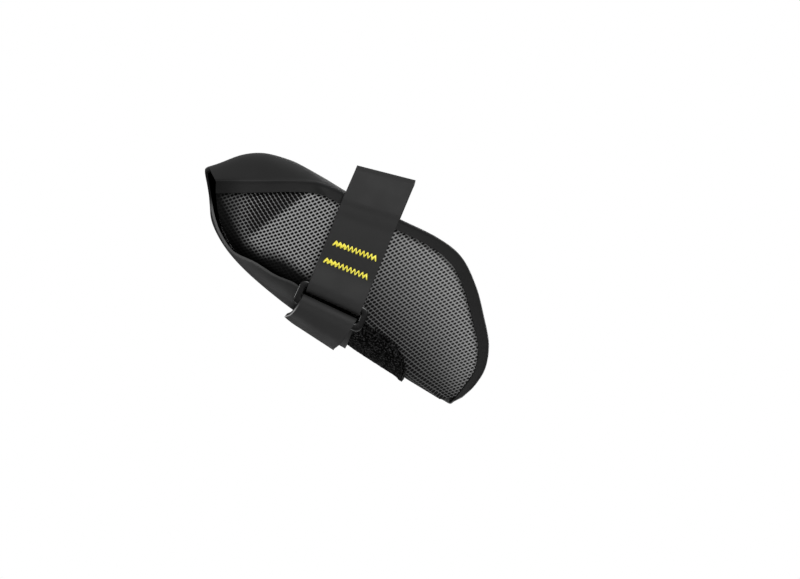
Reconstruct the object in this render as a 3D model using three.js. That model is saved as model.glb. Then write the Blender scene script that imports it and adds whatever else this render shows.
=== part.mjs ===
// Bike tool pack: a wedge-shaped pouch that hangs by the loop of one strap.
// Millimetres. +X is the front of the pack, +Z is up, -Y is the buckle side.
// Origin: on the strap's inner face, at the middle of the loop's flat top.
import * as THREE from 'three';
import { mergeVertices } from 'three/addons/utils/BufferGeometryUtils.js';

const GAP = 0.3; // clearance between neighbouring pieces
const MERGE = 1e-3;

// wall thicknesses
const POUCH_WALL = 1.2;
const SPINE_WALL = 1.2;
const FLAP_WALL = 1.0;
const PATCH_WALL = 1.2;
const STRAP_WALL = 1.5;

// pouch: share of the girth taken by the rounded bottom, outward belly of a side of full height,
// rounding of the tip
const FOLD_SHARE = 0.45;
const SIDE_BULGE = 1.2;
const SIDE_FULL = 40;
const TIP_BULGE = 2.3;
const GIRTH_STEPS = 24;

// spine panel: crown curve, how far the rear edge bows backwards, how far the end covers the tip and turns
// under it
const CROWN_POWER = 3;
const REAR_BOW = 4.2;
const TIP_COVER = 5.3;
const TIP_LAP = 0.1;
const TIP_TURN = 9; // degrees
const CROWN_SHARES = [1, 0.9, 0.7, 0.45, 0.2, 0];

// rear flap: how the sheet cups from its centre line to its edges
const FLAP_CUP_POWER = 3.2;
const FLAP_STEPS = 26;
const FLAP_SHARES = [1, 0.85, 0.65, 0.4, 0.2, 0];

// fastening patch: stations of its rear end, front middle and front corners, reach up each side at the rear
// end and in front of the strap
const PATCH_REAR = 5.15;
const PATCH_FRONT = 11.8;
const PATCH_CORNER = 9.5;
const PATCH_CORNER_POWER = 2.6;
const PATCH_REAR_REACH = 8.2;
const PATCH_REACH = 11.7;
const PATCH_STEPS = 14;

// strap: stations of its two edges at the bottom fold and at the seam, how much lower its rear edge lies than
// its front edge on the sides, loop at the top, layers on the buckle side
const STRAP_REAR = [5.09, 4.93];
const STRAP_FRONT = [7.04, 7.02];
const STRAP_MIDDLE = 6;
const STRAP_LEAN = 4.2;
const UNDER_LEAN = 2.4; // the same under the bottom, and at the free end
const FREE_LEAN = 1.4;
const LEAN_FROM = -4; // depths between which the lean grows
const LEAN_TO = 9;
const LOOP_TOP = 73; // inner face of the loop, measured up from the bottom fold
const LOOP_FLAT = 22; // half length of the flat top run
const LOOP_RADIUS = 4;
const LOOP_TURN = 66; // degrees
const SEWN_END = 41; // upper end of the sewn-back layer
const FREE_END = 6; // free end, beyond the middle of the underside
const FREE_SHIFT = 4.6; // rearward shift of the free end, over its turn round the ring's lower bar
const FREE_TURN = 32;
const FREE_DROP = 0.6; // slack between it and the layer above
const FREE_CURL = 0.5; // rise of its rear edge towards the flap
const CURL_SHARE = 0.15;
const STRAP_SHARES = [0, CURL_SHARE, 0.5, 1];

// ring: outer size, upper bar, flat end bars and lower bar
const RING_LENGTH = 34;
const RING_HEIGHT = 11.7;
const RING_BAR = 2.5;
const RING_END = 3;
const RING_FOOT = 3.3;
const RING_BEVEL = 0.6;
const RING_CORNER = 3;
const BAR_CLEARANCE = 0.6;
const UPPER_BAR = { depth: 13.6 };
const LOWER_BAR = { depth: 5.5, across: 32.9 };

// Cross-sections from the mouth at the rear to the tip. Each runs from the bottom fold (bottomX, bottomZ)
// up to the seam with the spine panel (creaseX, creaseZ); bow bends it rearwards. half is the half width at
// the seam, belly the half width above the rounded bottom, round the height of that rounding, crown the rise
// of the spine panel over the seam, flange its lap on the sides, steps the mesh rows up to the next section.
const SECTION_COLUMNS = [
  'bottomX', 'bottomZ', 'creaseX', 'creaseZ', 'bow', 'half', 'belly', 'round', 'crown', 'flange', 'steps',
];
const SECTION_ROWS = [
  [-55.0, -46.5, -76.7, -2.2, 7.1, 21.0, 20.0, 15.0, 7.0, 5.0, 3],
  [-52.5, -49.0, -67.0, -2.4, 5.2, 24.0, 23.0, 15.0, 12.2, 5.0, 3],
  [-49.5, -51.6, -55.0, -2.5, 3.4, 27.5, 26.0, 14.5, 13.4, 5.0, 3],
  [-46.2, -54.2, -42.0, -2.4, 1.5, 30.2, 28.5, 14.0, 9.5, 5.0, 2],
  [-42.8, -56.8, -29.3, -3.4, 0.4, 31.0, 29.3, 13.5, 3.4, 5.0, 2],
  [-39.4, -59.3, -17.2, -8.4, 0.0, 30.8, 28.8, 13.0, 1.2, 5.0, 2],
  [-28.6, -67.1, -5.6, -14.0, 0.0, 30.0, 28.2, 13.0, 0.7, 5.0, 2],
  [-17.2, -75.1, 6.1, -19.7, 0.0, 29.0, 27.0, 13.5, 0.6, 4.6, 2],
  [-11.7, -78.9, 23.5, -28.2, 0.0, 26.5, 25.2, 14.0, 0.6, 4.9, 2],
  [-6.6, -82.2, 34.4, -36.9, 0.0, 23.2, 22.8, 13.5, 0.6, 5.3, 3],
  [-1.0, -85.8, 41.0, -50.1, 0.0, 19.6, 20.0, 12.5, 0.6, 5.6, 3],
  [4.5, -89.3, 44.7, -64.2, 0.0, 16.3, 17.0, 11.0, 0.6, 5.2, 3],
  [9.6, -92.8, 46.9, -76.4, 0.0, 13.2, 14.0, 9.0, 0.6, 4.7, 3],
  [14.7, -95.8, 45.5, -87.1, 0.0, 10.6, 11.0, 7.0, 0.5, 4.6, 3],
  [19.8, -98.7, 40.8, -95.0, 0.0, 8.4, 8.2, 5.0, 0.5, 4.5, 2],
  [24.9, -101.7, 35.2, -100.5, 0.0, 6.6, 5.6, 3.4, 0.4, 2.9, 0],
];

// Rear flap from its root at the spine panel down over the mouth: centre line, then the edge on the buckle
// side, which stands off the mouth, and the edge on the far side, which hugs it. Half is the distance of an
// edge from the middle plane.
const FLAP_COLUMNS = ['centreX', 'centreZ', 'nearX', 'nearZ', 'nearHalf', 'farX', 'farZ', 'farHalf'];
const FLAP_ROWS = [
  [-81.3, 4.7, -80.4, 2.9, 14.2, -77.6, -1.3, 20.6],
  [-82.2, 3.8, -81.3, 2.1, 14.4, -78.2, -2.4, 21.2],
  [-82.4, 2.3, -81.6, 0.8, 14.8, -78.4, -3.5, 21.8],
  [-82.0, 0.0, -81.4, -1.4, 15.6, -78.2, -5.2, 22.3],
  [-81.3, -3.0, -80.9, -4.0, 16.6, -77.8, -7.2, 22.7],
  [-80.5, -7.4, -80.2, -8.0, 18.2, -77.2, -10.2, 23.0],
  [-80.1, -13.0, -79.3, -13.3, 20.0, -76.4, -14.4, 23.4],
  [-79.5, -19.4, -77.9, -19.5, 22.0, -74.8, -19.4, 24.2],
  [-76.6, -26.6, -75.0, -26.8, 24.0, -71.6, -26.6, 26.0],
  [-71.1, -35.9, -69.3, -34.8, 26.0, -66.3, -33.5, 28.4],
  [-62.0, -45.3, -59.1, -39.8, 27.5, -57.3, -38.8, 28.6],
];

// The flap's end lies over the pouch: station, reach up each side.
const FLAP_END_COLUMNS = ['station', 'reach'];
const FLAP_END_ROWS = [
  [2.6, 9.5],
  [4.3, 9.5],
  [5.2, 7.5],
  [5.8, 4.0],
];

// Smooth curve through the rows of a table, as an object with the table's columns.
function tableCurve(columns, rows) {
  const positions = rows.map((row, i) => i);
  const spline = new THREE.CubicInterpolant(positions, rows.flat(), columns.length);
  return (s) => {
    const values = spline.evaluate(s);
    return Object.fromEntries(columns.map((name, i) => [name, values[i]]));
  };
}

const sectionAt = tableCurve(SECTION_COLUMNS, SECTION_ROWS);
const LAST_SECTION = SECTION_ROWS.length - 1;
const SPINE_LAP = GAP + SPINE_WALL;

const lerp = THREE.MathUtils.lerp;
const clamp = THREE.MathUtils.clamp;
const mirrored = (shares) => [...shares.map((f) => -f), ...shares.slice(0, -1).reverse()];
const series = (from, to, steps) => Array.from({ length: steps + 1 }, (_, i) => lerp(from, to, i / steps));

function sectionLength(c) {
  return Math.hypot(c.creaseX - c.bottomX, c.creaseZ - c.bottomZ);
}

// Point of a section: depth is the way up from the bottom fold, across the distance from the middle plane.
function sectionPoint(c, depth, across) {
  const length = sectionLength(c);
  const ux = (c.creaseX - c.bottomX) / length;
  const uz = (c.creaseZ - c.bottomZ) / length;
  const t = depth / length;
  const bow = c.bow * 4 * t * (1 - t);
  return new THREE.Vector3(c.bottomX + ux * depth - uz * bow, across, c.bottomZ + uz * depth + ux * bow);
}

// Half width of the pouch's outer face at a depth.
function halfAt(c, depth) {
  if (depth < c.round) return c.belly * Math.sqrt(1 - (1 - depth / c.round) ** 2);
  const side = sectionLength(c) - c.round;
  const k = (depth - c.round) / side;
  const ease = k * k * (3 - 2 * k);
  const bulge = SIDE_BULGE * Math.min(1, (side / SIDE_FULL) ** 2);
  return lerp(c.belly, c.half - SPINE_LAP, ease) + bulge * 16 * (k * (1 - k)) ** 2;
}

// Upward direction square to the seam, in the middle plane.
function seamNormal(s) {
  const before = sectionAt(Math.max(s - 0.05, 0));
  const after = sectionAt(Math.min(s + 0.05, LAST_SECTION));
  return new THREE.Vector3(before.creaseZ - after.creaseZ, 0, after.creaseX - before.creaseX).normalize();
}

// Depth of the pouch's upper edge, which stays clear of the spine panel.
function topDepth(s, c) {
  const length = sectionLength(c);
  const square = sectionPoint(c, length, 0).sub(sectionPoint(c, length - 1, 0)).dot(seamNormal(s));
  return length - (SPINE_LAP + GAP) / square;
}

// Share of the girth at a depth above the bottom fold.
function girthAt(c, depth) {
  return (FOLD_SHARE * Math.acos(1 - Math.min(depth / c.round, 1))) / (Math.PI / 2);
}

// Outer face of the pouch. girth runs from -1 (upper edge, buckle side) through 0 (bottom fold) to 1.
function pouchPoint(s, girth) {
  const c = sectionAt(s);
  const g = Math.abs(girth);
  const depth = g < FOLD_SHARE
    ? c.round * (1 - Math.cos((g / FOLD_SHARE) * (Math.PI / 2)))
    : lerp(c.round, topDepth(s, c), (g - FOLD_SHARE) / (1 - FOLD_SHARE));
  return sectionPoint(c, depth, Math.sign(girth) * halfAt(c, depth));
}

function overPouch(s, girth, rise) {
  const step = 0.01;
  const along = pouchPoint(s + step, girth).sub(pouchPoint(s - step, girth));
  const across = pouchPoint(s, girth + step).sub(pouchPoint(s, girth - step));
  return pouchPoint(s, girth).addScaledVector(across.cross(along).normalize(), rise);
}

function sectionStations() {
  const stations = [];
  SECTION_ROWS.forEach((row, i) => {
    const steps = row[SECTION_COLUMNS.indexOf('steps')];
    for (let k = 0; k < steps; k += 1) stations.push(i + k / steps);
  });
  return [...stations, LAST_SECTION];
}

// Closed wall from a grid of points on one face: offset is how far the wall lies behind the grid,
// lift how far it stands in front of it.
function cloth(grid, lift, offset) {
  const columns = grid[0].length;
  const sheet = new THREE.BufferGeometry().setFromPoints(grid.flat());
  const quads = [];
  for (let i = 0; i + 1 < grid.length; i += 1) {
    for (let j = 0; j + 1 < columns; j += 1) {
      const a = i * columns + j;
      const b = a + columns;
      quads.push(a, b, a + 1, a + 1, b, b + 1);
    }
  }
  sheet.setIndex(quads);
  const merged = mergeVertices(sheet, MERGE);
  const points = [];
  const position = merged.getAttribute('position');
  for (let i = 0; i < position.count; i += 1) {
    points.push(new THREE.Vector3().fromBufferAttribute(position, i));
  }
  const faces = [];
  const index = merged.getIndex().array;
  for (let i = 0; i < index.length; i += 3) {
    const [a, b, c] = index.slice(i, i + 3);
    if (a !== b && b !== c && c !== a) faces.push([a, b, c]);
  }
  return wallGeometry(points, faces, lift, offset);
}

function wallGeometry(points, faces, lift, offset) {
  const touching = points.map(() => []);
  const edges = new Set();
  for (const face of faces) {
    const [a, b, c] = face.map((i) => points[i]);
    const normal = b.clone().sub(a).cross(c.clone().sub(a));
    for (const i of face) touching[i].push(normal);
    face.forEach((from, k) => edges.add(`${from} ${face[(k + 1) % 3]}`));
  }
  const shifts = touching.map((normals) => {
    const mean = normals.reduce((sum, n) => sum.add(n), new THREE.Vector3()).normalize();
    const squareness = Math.min(...normals.map((n) => mean.dot(n) / n.length()));
    return mean.divideScalar(clamp(squareness, 0.62, 1));
  });
  const front = points.map((p, i) => p.clone().addScaledVector(shifts[i], lift));
  const back = points.map((p, i) => p.clone().addScaledVector(shifts[i], -offset));
  const count = points.length;
  const triangles = [];
  for (const [a, b, c] of faces) triangles.push(a, b, c, a + count, c + count, b + count);
  for (const edge of edges) {
    const [from, to] = edge.split(' ').map(Number);
    if (edges.has(`${to} ${from}`)) continue;
    triangles.push(to, from, from + count, to, from + count, to + count);
  }
  const geometry = new THREE.BufferGeometry().setFromPoints([...front, ...back]);
  geometry.setIndex(triangles);
  return geometry;
}

function piece(name, geometry, color, roughness) {
  const clean = geometry.clone();
  clean.deleteAttribute('normal');
  clean.deleteAttribute('uv');
  const material = new THREE.MeshStandardMaterial({ color, roughness });
  const mesh = new THREE.Mesh(mergeVertices(clean, MERGE), material);
  mesh.geometry.computeVertexNormals();
  mesh.name = name;
  return mesh;
}

// Both sides and the bottom in one folded panel, closed across at the tip and open at the rear.
function pouchBody() {
  const girths = series(1, -1, GIRTH_STEPS);
  const grid = sectionStations().map((s) => girths.map((g) => pouchPoint(s, g)));
  const end = grid[grid.length - 1];
  const first = end[GIRTH_STEPS / 2];
  const last = end[0].clone().setY(0);
  const chord = last.clone().sub(first);
  const outward = new THREE.Vector3(chord.z, 0, -chord.x).normalize();
  grid.push(end.map((p) => {
    const t = p.clone().setY(0).sub(first).dot(chord) / chord.lengthSq();
    return p.clone().setY(0).addScaledVector(outward, TIP_BULGE * Math.sin(Math.PI * t));
  }));
  return cloth(grid, 0, POUCH_WALL);
}

// Distance from the pouch to the spine panel's outer face, measured across, where the sides slope.
function lapAcross(s, drop) {
  const half = (at) => {
    const c = sectionAt(clamp(at, 0, LAST_SECTION));
    const depth = sectionLength(c) - drop;
    return sectionPoint(c, depth, halfAt(c, depth));
  };
  const run = half(s + 0.05).sub(half(s - 0.05));
  return SPINE_LAP * Math.hypot(1, run.y / Math.hypot(run.x, run.z));
}

// One row of the spine panel, from lap to lap over the crown. lapShare scales the laps.
function spineRow(s, lapShare) {
  const c = sectionAt(s);
  const length = sectionLength(c);
  const flange = lapShare * Math.min(c.flange, 0.55 * length);
  const up = seamNormal(s);
  const rear = REAR_BOW * Math.max(0, 1 - s) ** 2;
  const lap = (side, drop) => {
    const across = halfAt(c, length - drop) + lapAcross(s, drop);
    return sectionPoint(c, length - drop, side * across);
  };
  const half = lap(1, 0).y;
  const crown = mirrored(CROWN_SHARES).map((f) => {
    const rise = 1 - Math.abs(f) ** CROWN_POWER;
    const p = sectionPoint(c, length, f * half).addScaledVector(up, c.crown * rise);
    p.x -= rear * rise;
    return p;
  });
  const laps = [1, 2 / 3, 1 / 3].map((share) => share * flange);
  return [...laps.map((drop) => lap(-1, drop)), ...crown, ...laps.reverse().map((drop) => lap(1, drop))];
}

// Top and front panel, folded down over both sides of the pouch and carried on over the tip.
function spinePanel() {
  const grid = sectionStations().map((s) => spineRow(s, 1));
  const turn = THREE.MathUtils.degToRad(90 + TIP_TURN);
  const onward = seamNormal(LAST_SECTION).applyAxisAngle(new THREE.Vector3(0, 1, 0), turn);
  grid.push(spineRow(LAST_SECTION, TIP_LAP).map((p) => p.addScaledVector(onward, TIP_COVER)));
  return cloth(grid, 0, SPINE_WALL);
}

// Tongue that folds down from the spine panel's rear edge over the mouth and under the bottom.
function rearFlap() {
  const shares = mirrored(FLAP_SHARES);
  const free = FLAP_ROWS.map((row) => {
    const [centreX, centreZ, ...edges] = row;
    return shares.map((f) => {
      const [edgeX, edgeZ, half] = f < 0 ? edges.slice(0, 3) : edges.slice(3);
      const cup = Math.abs(f) ** FLAP_CUP_POWER;
      return new THREE.Vector3(lerp(centreX, edgeX, cup), f * half, lerp(centreZ, edgeZ, cup));
    });
  });
  const rise = 2.5 * GAP + PATCH_WALL + FLAP_WALL;
  const held = FLAP_END_ROWS.map(([station, reach]) => {
    const girth = girthAt(sectionAt(station), reach);
    return shares.map((f) => overPouch(station, f * girth, rise));
  });
  const columns = shares.map((f, j) => {
    const knots = [...free, ...held].map((row) => row[j]);
    return new THREE.CatmullRomCurve3(knots).getPoints(FLAP_STEPS);
  });
  const grid = columns[0].map((p, i) => columns.map((column) => column[i]));
  return cloth(grid.reverse(), 0, FLAP_WALL);
}

// Fastening patch sewn round the bottom, with rounded front corners.
function fasteningPatch() {
  const rise = GAP + PATCH_WALL;
  const grid = series(0, 1, PATCH_STEPS).map((t) => series(1, -1, 16).map((f) => {
    const front = lerp(PATCH_FRONT, PATCH_CORNER, Math.abs(f) ** PATCH_CORNER_POWER);
    const s = lerp(PATCH_REAR, front, t);
    const clear = clamp((s - PATCH_REAR) / (STRAP_FRONT[0] - PATCH_REAR), 0, 1);
    return overPouch(s, f * girthAt(sectionAt(s), lerp(PATCH_REAR_REACH, PATCH_REACH, clear)), rise);
  }));
  return cloth(grid, 0, PATCH_WALL);
}

// Strap path in the plane of its middle section, as [depth, across, skew] along the strap's middle surface.
function strapPath() {
  const c = sectionAt(STRAP_MIDDLE);
  const half = STRAP_WALL / 2;
  const layer = STRAP_WALL + GAP;
  const onPouch = 2 * GAP + half;
  const onBottom = 4.5 * GAP + PATCH_WALL + FLAP_WALL + half;
  const wrap = RING_BAR / 2 + BAR_CLEARANCE + half;
  const crest = LOOP_TOP + half;
  const seam = sectionLength(c);
  const radians = THREE.MathUtils.degToRad;
  const turn = (bar, from, to, steps) => series(radians(from), radians(to), steps)
    .map((a) => [bar.depth + wrap * Math.sin(a), bar.across + wrap * Math.cos(a)]);
  const side = (from, to, steps, sign, rise) => series(from, to, steps)
    .map((depth) => [depth, sign * (halfAt(c, depth) + rise(depth))]);
  const under = (from, to, steps, rise) => series(from, to, steps).map((angle) => {
    const a = radians(angle);
    const normal = new THREE.Vector2(-Math.cos(a) / c.round, Math.sin(a) / c.belly).normalize();
    return [c.round * (1 - Math.cos(a)) + normal.x * rise, c.belly * Math.sin(a) + normal.y * rise];
  });
  const loop = series(LOOP_TURN, 0, 6).map((angle) => {
    const a = radians(angle);
    const radius = LOOP_RADIUS + half;
    return [crest - radius * (1 - Math.cos(a)), -LOOP_FLAT - radius * Math.sin(a)];
  });
  const upper = { depth: UPPER_BAR.depth, across: -(halfAt(c, UPPER_BAR.depth) + onPouch + wrap) };
  const lower = { depth: LOWER_BAR.depth, across: -LOWER_BAR.across };
  const flare = (depth) => onPouch + lerp(layer, 2 * wrap, clamp((27 - depth) / 10.5, 0, 1) ** 1.3);
  const overSeam = (depth) => onPouch + (SPINE_LAP + 2 * GAP) * clamp((depth - 42) / 8, 0, 1);
  const ontoPatch = (depth) => lerp(onBottom, onPouch, clamp((depth - c.round) / 12, 0, 1));
  const fixed = [
    ...side(SEWN_END, UPPER_BAR.depth + 1.5, 8, -1, () => onPouch),
    ...turn(upper, 0, -180, 8),
    ...side(UPPER_BAR.depth + 2, SEWN_END - 1, 8, -1, flare),
    ...side(SEWN_END + 4, seam, 6, -1, overSeam),
    ...loop,
    ...series(-LOOP_FLAT, LOOP_FLAT, 4).slice(1, -1).map((across) => [crest, across]),
    ...loop.map(([depth, across]) => [depth, -across]).reverse(),
    ...side(seam, c.round + 1, 14, 1, (depth) => Math.max(overSeam(depth), ontoPatch(depth))),
    ...under(90, -66, 18, onBottom),
  ].map(([depth, across]) => [depth, across, 0]);
  return [...fixed, ...freeEnd(turn(lower, 0, 180, 8), lower, wrap, -(onBottom + layer + FREE_DROP))];
}

// Free end of the strap: turned out over the ring's lower bar and led back under the bottom, askew.
function freeEnd(turn, lower, wrap, deepest) {
  const front = lower.across - wrap;
  const bends = [
    [lower.depth, front],
    [lower.depth - 3.6, front + 0.2],
    [lower.depth - 7.2, front + 2.2],
    [deepest + 2.6, front + 6.6],
    [deepest + 0.8, front + 13.5],
    [deepest, front + 21],
    [deepest, 0],
    [deepest + 0.6, FREE_END],
  ].map(([depth, across]) => new THREE.Vector3(depth, across, 0));
  const led = new THREE.CatmullRomCurve3(bends).getPoints(20).slice(1);
  const path = [...turn.map(([depth, across]) => new THREE.Vector3(depth, across, 0)), ...led];
  let run = 0;
  return path.map((p, i) => {
    if (i > 0) run += p.distanceTo(path[i - 1]);
    return [p.x, p.y, FREE_SHIFT * THREE.MathUtils.smoothstep(run, 0, FREE_TURN)];
  });
}

// Line across the strap: share 0 is its rear edge, 1 its front edge.
function strapPoint([depth, across, skew], share) {
  const middle = sectionAt(STRAP_MIDDLE);
  const length = sectionLength(middle);
  const free = skew / FREE_SHIFT;
  const { smoothstep } = THREE.MathUtils;
  const lean = lerp(lerp(UNDER_LEAN, FREE_LEAN, free), STRAP_LEAN, smoothstep(depth, LEAN_FROM, LEAN_TO));
  const curl = FREE_CURL * smoothstep(free, 0.6, 1) * Math.max(0, 1 - share / CURL_SHARE);
  const [rear, front] = [STRAP_REAR, STRAP_FRONT].map(([low, high], edge) => {
    const c = sectionAt(lerp(low, high, clamp(depth / length, 0, 1)));
    const along = depth + lean * (edge - 0.5) + curl;
    return sectionPoint(c, along * (sectionLength(c) / length), across * (c.belly / middle.belly));
  });
  const width = rear.distanceTo(front);
  return rear.lerp(front, share - skew / width);
}

function strap() {
  const grid = strapPath().map((step) => STRAP_SHARES.map((share) => strapPoint(step, share)));
  return cloth(grid, STRAP_WALL / 2, STRAP_WALL / 2);
}

function roundedRectangle(path, x, bottom, top, radius) {
  path.moveTo(-x + radius, bottom);
  path.lineTo(x - radius, bottom);
  path.absarc(x - radius, bottom + radius, radius, -Math.PI / 2, 0);
  path.lineTo(x, top - radius);
  path.absarc(x - radius, top - radius, radius, 0, Math.PI / 2);
  path.lineTo(-x + radius, top);
  path.absarc(-x + radius, top - radius, radius, Math.PI / 2, Math.PI);
  path.lineTo(-x, bottom + radius);
  path.absarc(-x + radius, bottom + radius, radius, Math.PI, 1.5 * Math.PI);
  return path;
}

// Flat ring whose origin is the middle of its upper bar.
function ringGeometry() {
  const top = RING_BAR / 2;
  const bottom = top - RING_HEIGHT;
  const shape = roundedRectangle(new THREE.Shape(), RING_LENGTH / 2, bottom, top, RING_CORNER);
  const slot = [RING_LENGTH / 2 - RING_END, bottom + RING_FOOT, top - RING_BAR, RING_CORNER / 2];
  shape.holes.push(roundedRectangle(new THREE.Path(), ...slot));
  const geometry = new THREE.ExtrudeGeometry(shape, {
    depth: RING_BAR - 2 * RING_BEVEL,
    bevelThickness: RING_BEVEL,
    bevelSize: RING_BEVEL,
    bevelOffset: -RING_BEVEL,
    bevelSegments: 2,
    curveSegments: 5,
  });
  return geometry.translate(0, 0, RING_BEVEL - RING_BAR / 2);
}

// The ring lies in the plane of its two bars, with its length along the strap's width.
function strapRing() {
  const c = sectionAt(STRAP_MIDDLE);
  const wrap = RING_BAR / 2 + BAR_CLEARANCE + STRAP_WALL / 2;
  const upperAcross = halfAt(c, UPPER_BAR.depth) + 2 * GAP + STRAP_WALL / 2 + wrap;
  const upper = [0, 1].map((share) => strapPoint([UPPER_BAR.depth, -upperAcross, 0], share));
  const lower = [0, 1].map((share) => strapPoint([LOWER_BAR.depth, -LOWER_BAR.across, 0], share));
  const along = upper[1].clone().sub(upper[0]).add(lower[1]).sub(lower[0]).normalize();
  const rise = upper[0].clone().add(upper[1]).sub(lower[0]).sub(lower[1]);
  const outward = along.clone().cross(rise).normalize();
  const basis = new THREE.Matrix4().makeBasis(along, outward.clone().cross(along), outward);
  const place = upper[0].clone().lerp(upper[1], 0.5);
  return ringGeometry().applyMatrix4(basis.setPosition(place));
}

const pack = new THREE.Group();
pack.name = 'bike_tool_pack';
pack.add(
  piece('pouch_body', pouchBody(), 0x6a6c6e, 0.7),
  piece('spine_panel', spinePanel(), 0x232425, 0.6),
  piece('rear_flap', rearFlap(), 0x2b2c2d, 0.6),
  piece('loop_patch', fasteningPatch(), 0x121212, 0.95),
  piece('strap', strap(), 0x2f3031, 0.7),
  piece('strap_ring', strapRing(), 0x1c1c1d, 0.4),
);

export default pack;
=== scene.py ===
# %% [markdown]
# # A bike tool pack
# The pack is a wedge-shaped pouch of coarse grey weave. A black coated panel runs over its top and down its
# front, and goes on at the rear as a flap over the mouth. One strap loops over the top, goes through a
# plastic ring on the near side and fastens on a patch of loop pile under the bottom. The frame holds those
# pieces as plain solids at their real size. Each of them is made again here as cloth.

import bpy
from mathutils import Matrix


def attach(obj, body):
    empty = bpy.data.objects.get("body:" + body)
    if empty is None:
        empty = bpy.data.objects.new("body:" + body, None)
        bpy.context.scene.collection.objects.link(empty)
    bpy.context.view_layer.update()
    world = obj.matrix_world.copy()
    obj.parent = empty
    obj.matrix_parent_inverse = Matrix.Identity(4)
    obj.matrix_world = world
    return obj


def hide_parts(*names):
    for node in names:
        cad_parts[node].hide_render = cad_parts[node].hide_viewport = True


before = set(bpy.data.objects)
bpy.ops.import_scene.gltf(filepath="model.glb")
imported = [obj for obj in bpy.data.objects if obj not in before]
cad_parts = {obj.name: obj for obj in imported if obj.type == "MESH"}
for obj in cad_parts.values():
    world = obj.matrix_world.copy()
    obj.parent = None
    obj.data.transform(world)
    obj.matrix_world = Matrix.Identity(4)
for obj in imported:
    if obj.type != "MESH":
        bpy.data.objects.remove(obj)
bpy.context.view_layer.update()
print("solids in the frame:", sorted(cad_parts))

# %% [markdown]
# ## Sections
# Everything on the pack follows one table: sections cut across it from the mouth at the rear to the tip. A
# section runs from the bottom fold up to the seam with the top panel. The form could be sculpted, but then
# each piece would have to be fitted to it. With a table, pouch, panel, patch and strap all lie on the same
# form. Sizes are in millimetres, and only the finished meshes are turned into metres.

# %% Section table
import math

import bmesh
import bpy
import numpy as np
from mathutils import Vector, noise

MM = 0.001

GAP = 0.3  # between two layers of cloth
POUCH_WALL = 1.2
SPINE_WALL = 1.2
FLAP_WALL = 1.0
PATCH_WALL = 1.2
STRAP_WALL = 1.5
SPINE_LAP = GAP + SPINE_WALL

SECTION_COLUMNS = [
    "bottom_x", "bottom_z", "crease_x", "crease_z", "bow", "half", "belly", "round", "crown", "flange"
]
SECTION_ROWS = np.array([
    [-55.0, -46.5, -76.7, -2.2, 7.1, 21.0, 20.0, 15.0, 7.0, 5.0],
    [-52.5, -49.0, -67.0, -2.4, 5.2, 24.0, 23.0, 15.0, 12.2, 5.0],
    [-49.5, -51.6, -55.0, -2.5, 3.4, 27.5, 26.0, 14.5, 13.4, 5.0],
    [-46.2, -54.2, -42.0, -2.4, 1.5, 30.2, 28.5, 14.0, 9.5, 5.0],
    [-42.8, -56.8, -29.3, -3.4, 0.4, 31.0, 29.3, 13.5, 3.4, 5.0],
    [-39.4, -59.3, -17.2, -8.4, 0.0, 30.8, 28.8, 13.0, 1.2, 5.0],
    [-28.6, -67.1, -5.6, -14.0, 0.0, 30.0, 28.2, 13.0, 0.7, 5.0],
    [-17.2, -75.1, 6.1, -19.7, 0.0, 29.0, 27.0, 13.5, 0.6, 4.6],
    [-11.7, -78.9, 23.5, -28.2, 0.0, 26.5, 25.2, 14.0, 0.6, 4.9],
    [-6.6, -82.2, 34.4, -36.9, 0.0, 23.2, 22.8, 13.5, 0.6, 5.3],
    [-1.0, -85.8, 41.0, -50.1, 0.0, 19.6, 20.0, 12.5, 0.6, 5.6],
    [4.5, -89.3, 44.7, -64.2, 0.0, 16.3, 17.0, 11.0, 0.6, 5.2],
    [9.6, -92.8, 46.9, -76.4, 0.0, 13.2, 14.0, 9.0, 0.6, 4.7],
    [14.7, -95.8, 45.5, -87.1, 0.0, 10.6, 11.0, 7.0, 0.5, 4.6],
    [19.8, -98.7, 40.8, -95.0, 0.0, 8.4, 8.2, 5.0, 0.5, 4.5],
    [24.9, -101.7, 35.2, -100.5, 0.0, 6.6, 5.6, 3.4, 0.4, 2.9],
])
LAST = len(SECTION_ROWS) - 1
print("sections in the table:", len(SECTION_ROWS))

# %% [markdown]
# A few small helpers do most of the shaping: a mix of two values, a step that starts and ends softly, and
# smooth curves through the rows of a table or through listed points.

# %% Curve helpers
def lerp(a, b, t):
    return a + (b - a) * t


def smooth_step(low, high, value):
    t = np.clip((value - low) / (high - low), 0, 1)
    return t * t * (3 - 2 * t)


def vectors(x, y, z):
    return np.stack(np.broadcast_arrays(x, y, z), axis=-1)


def unit(v):
    return v / np.linalg.norm(v, axis=-1, keepdims=True)


def table_curve(rows, s):
    """Rows of a table at fractional places s, on a smooth curve that runs out straight at both ends."""
    rows = np.vstack([2 * rows[0] - rows[1], rows, 2 * rows[-1] - rows[-2]])
    s = np.clip(np.asarray(s, float), 0, len(rows) - 3)
    i = np.minimum(s.astype(int), len(rows) - 4)
    t = (s - i)[..., None]
    a, b, c, d = (rows[i + k] for k in range(4))
    return b + 0.5 * t * (c - a + t * (2 * a - 5 * b + 4 * c - d + t * (3 * (b - c) + d - a)))


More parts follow.
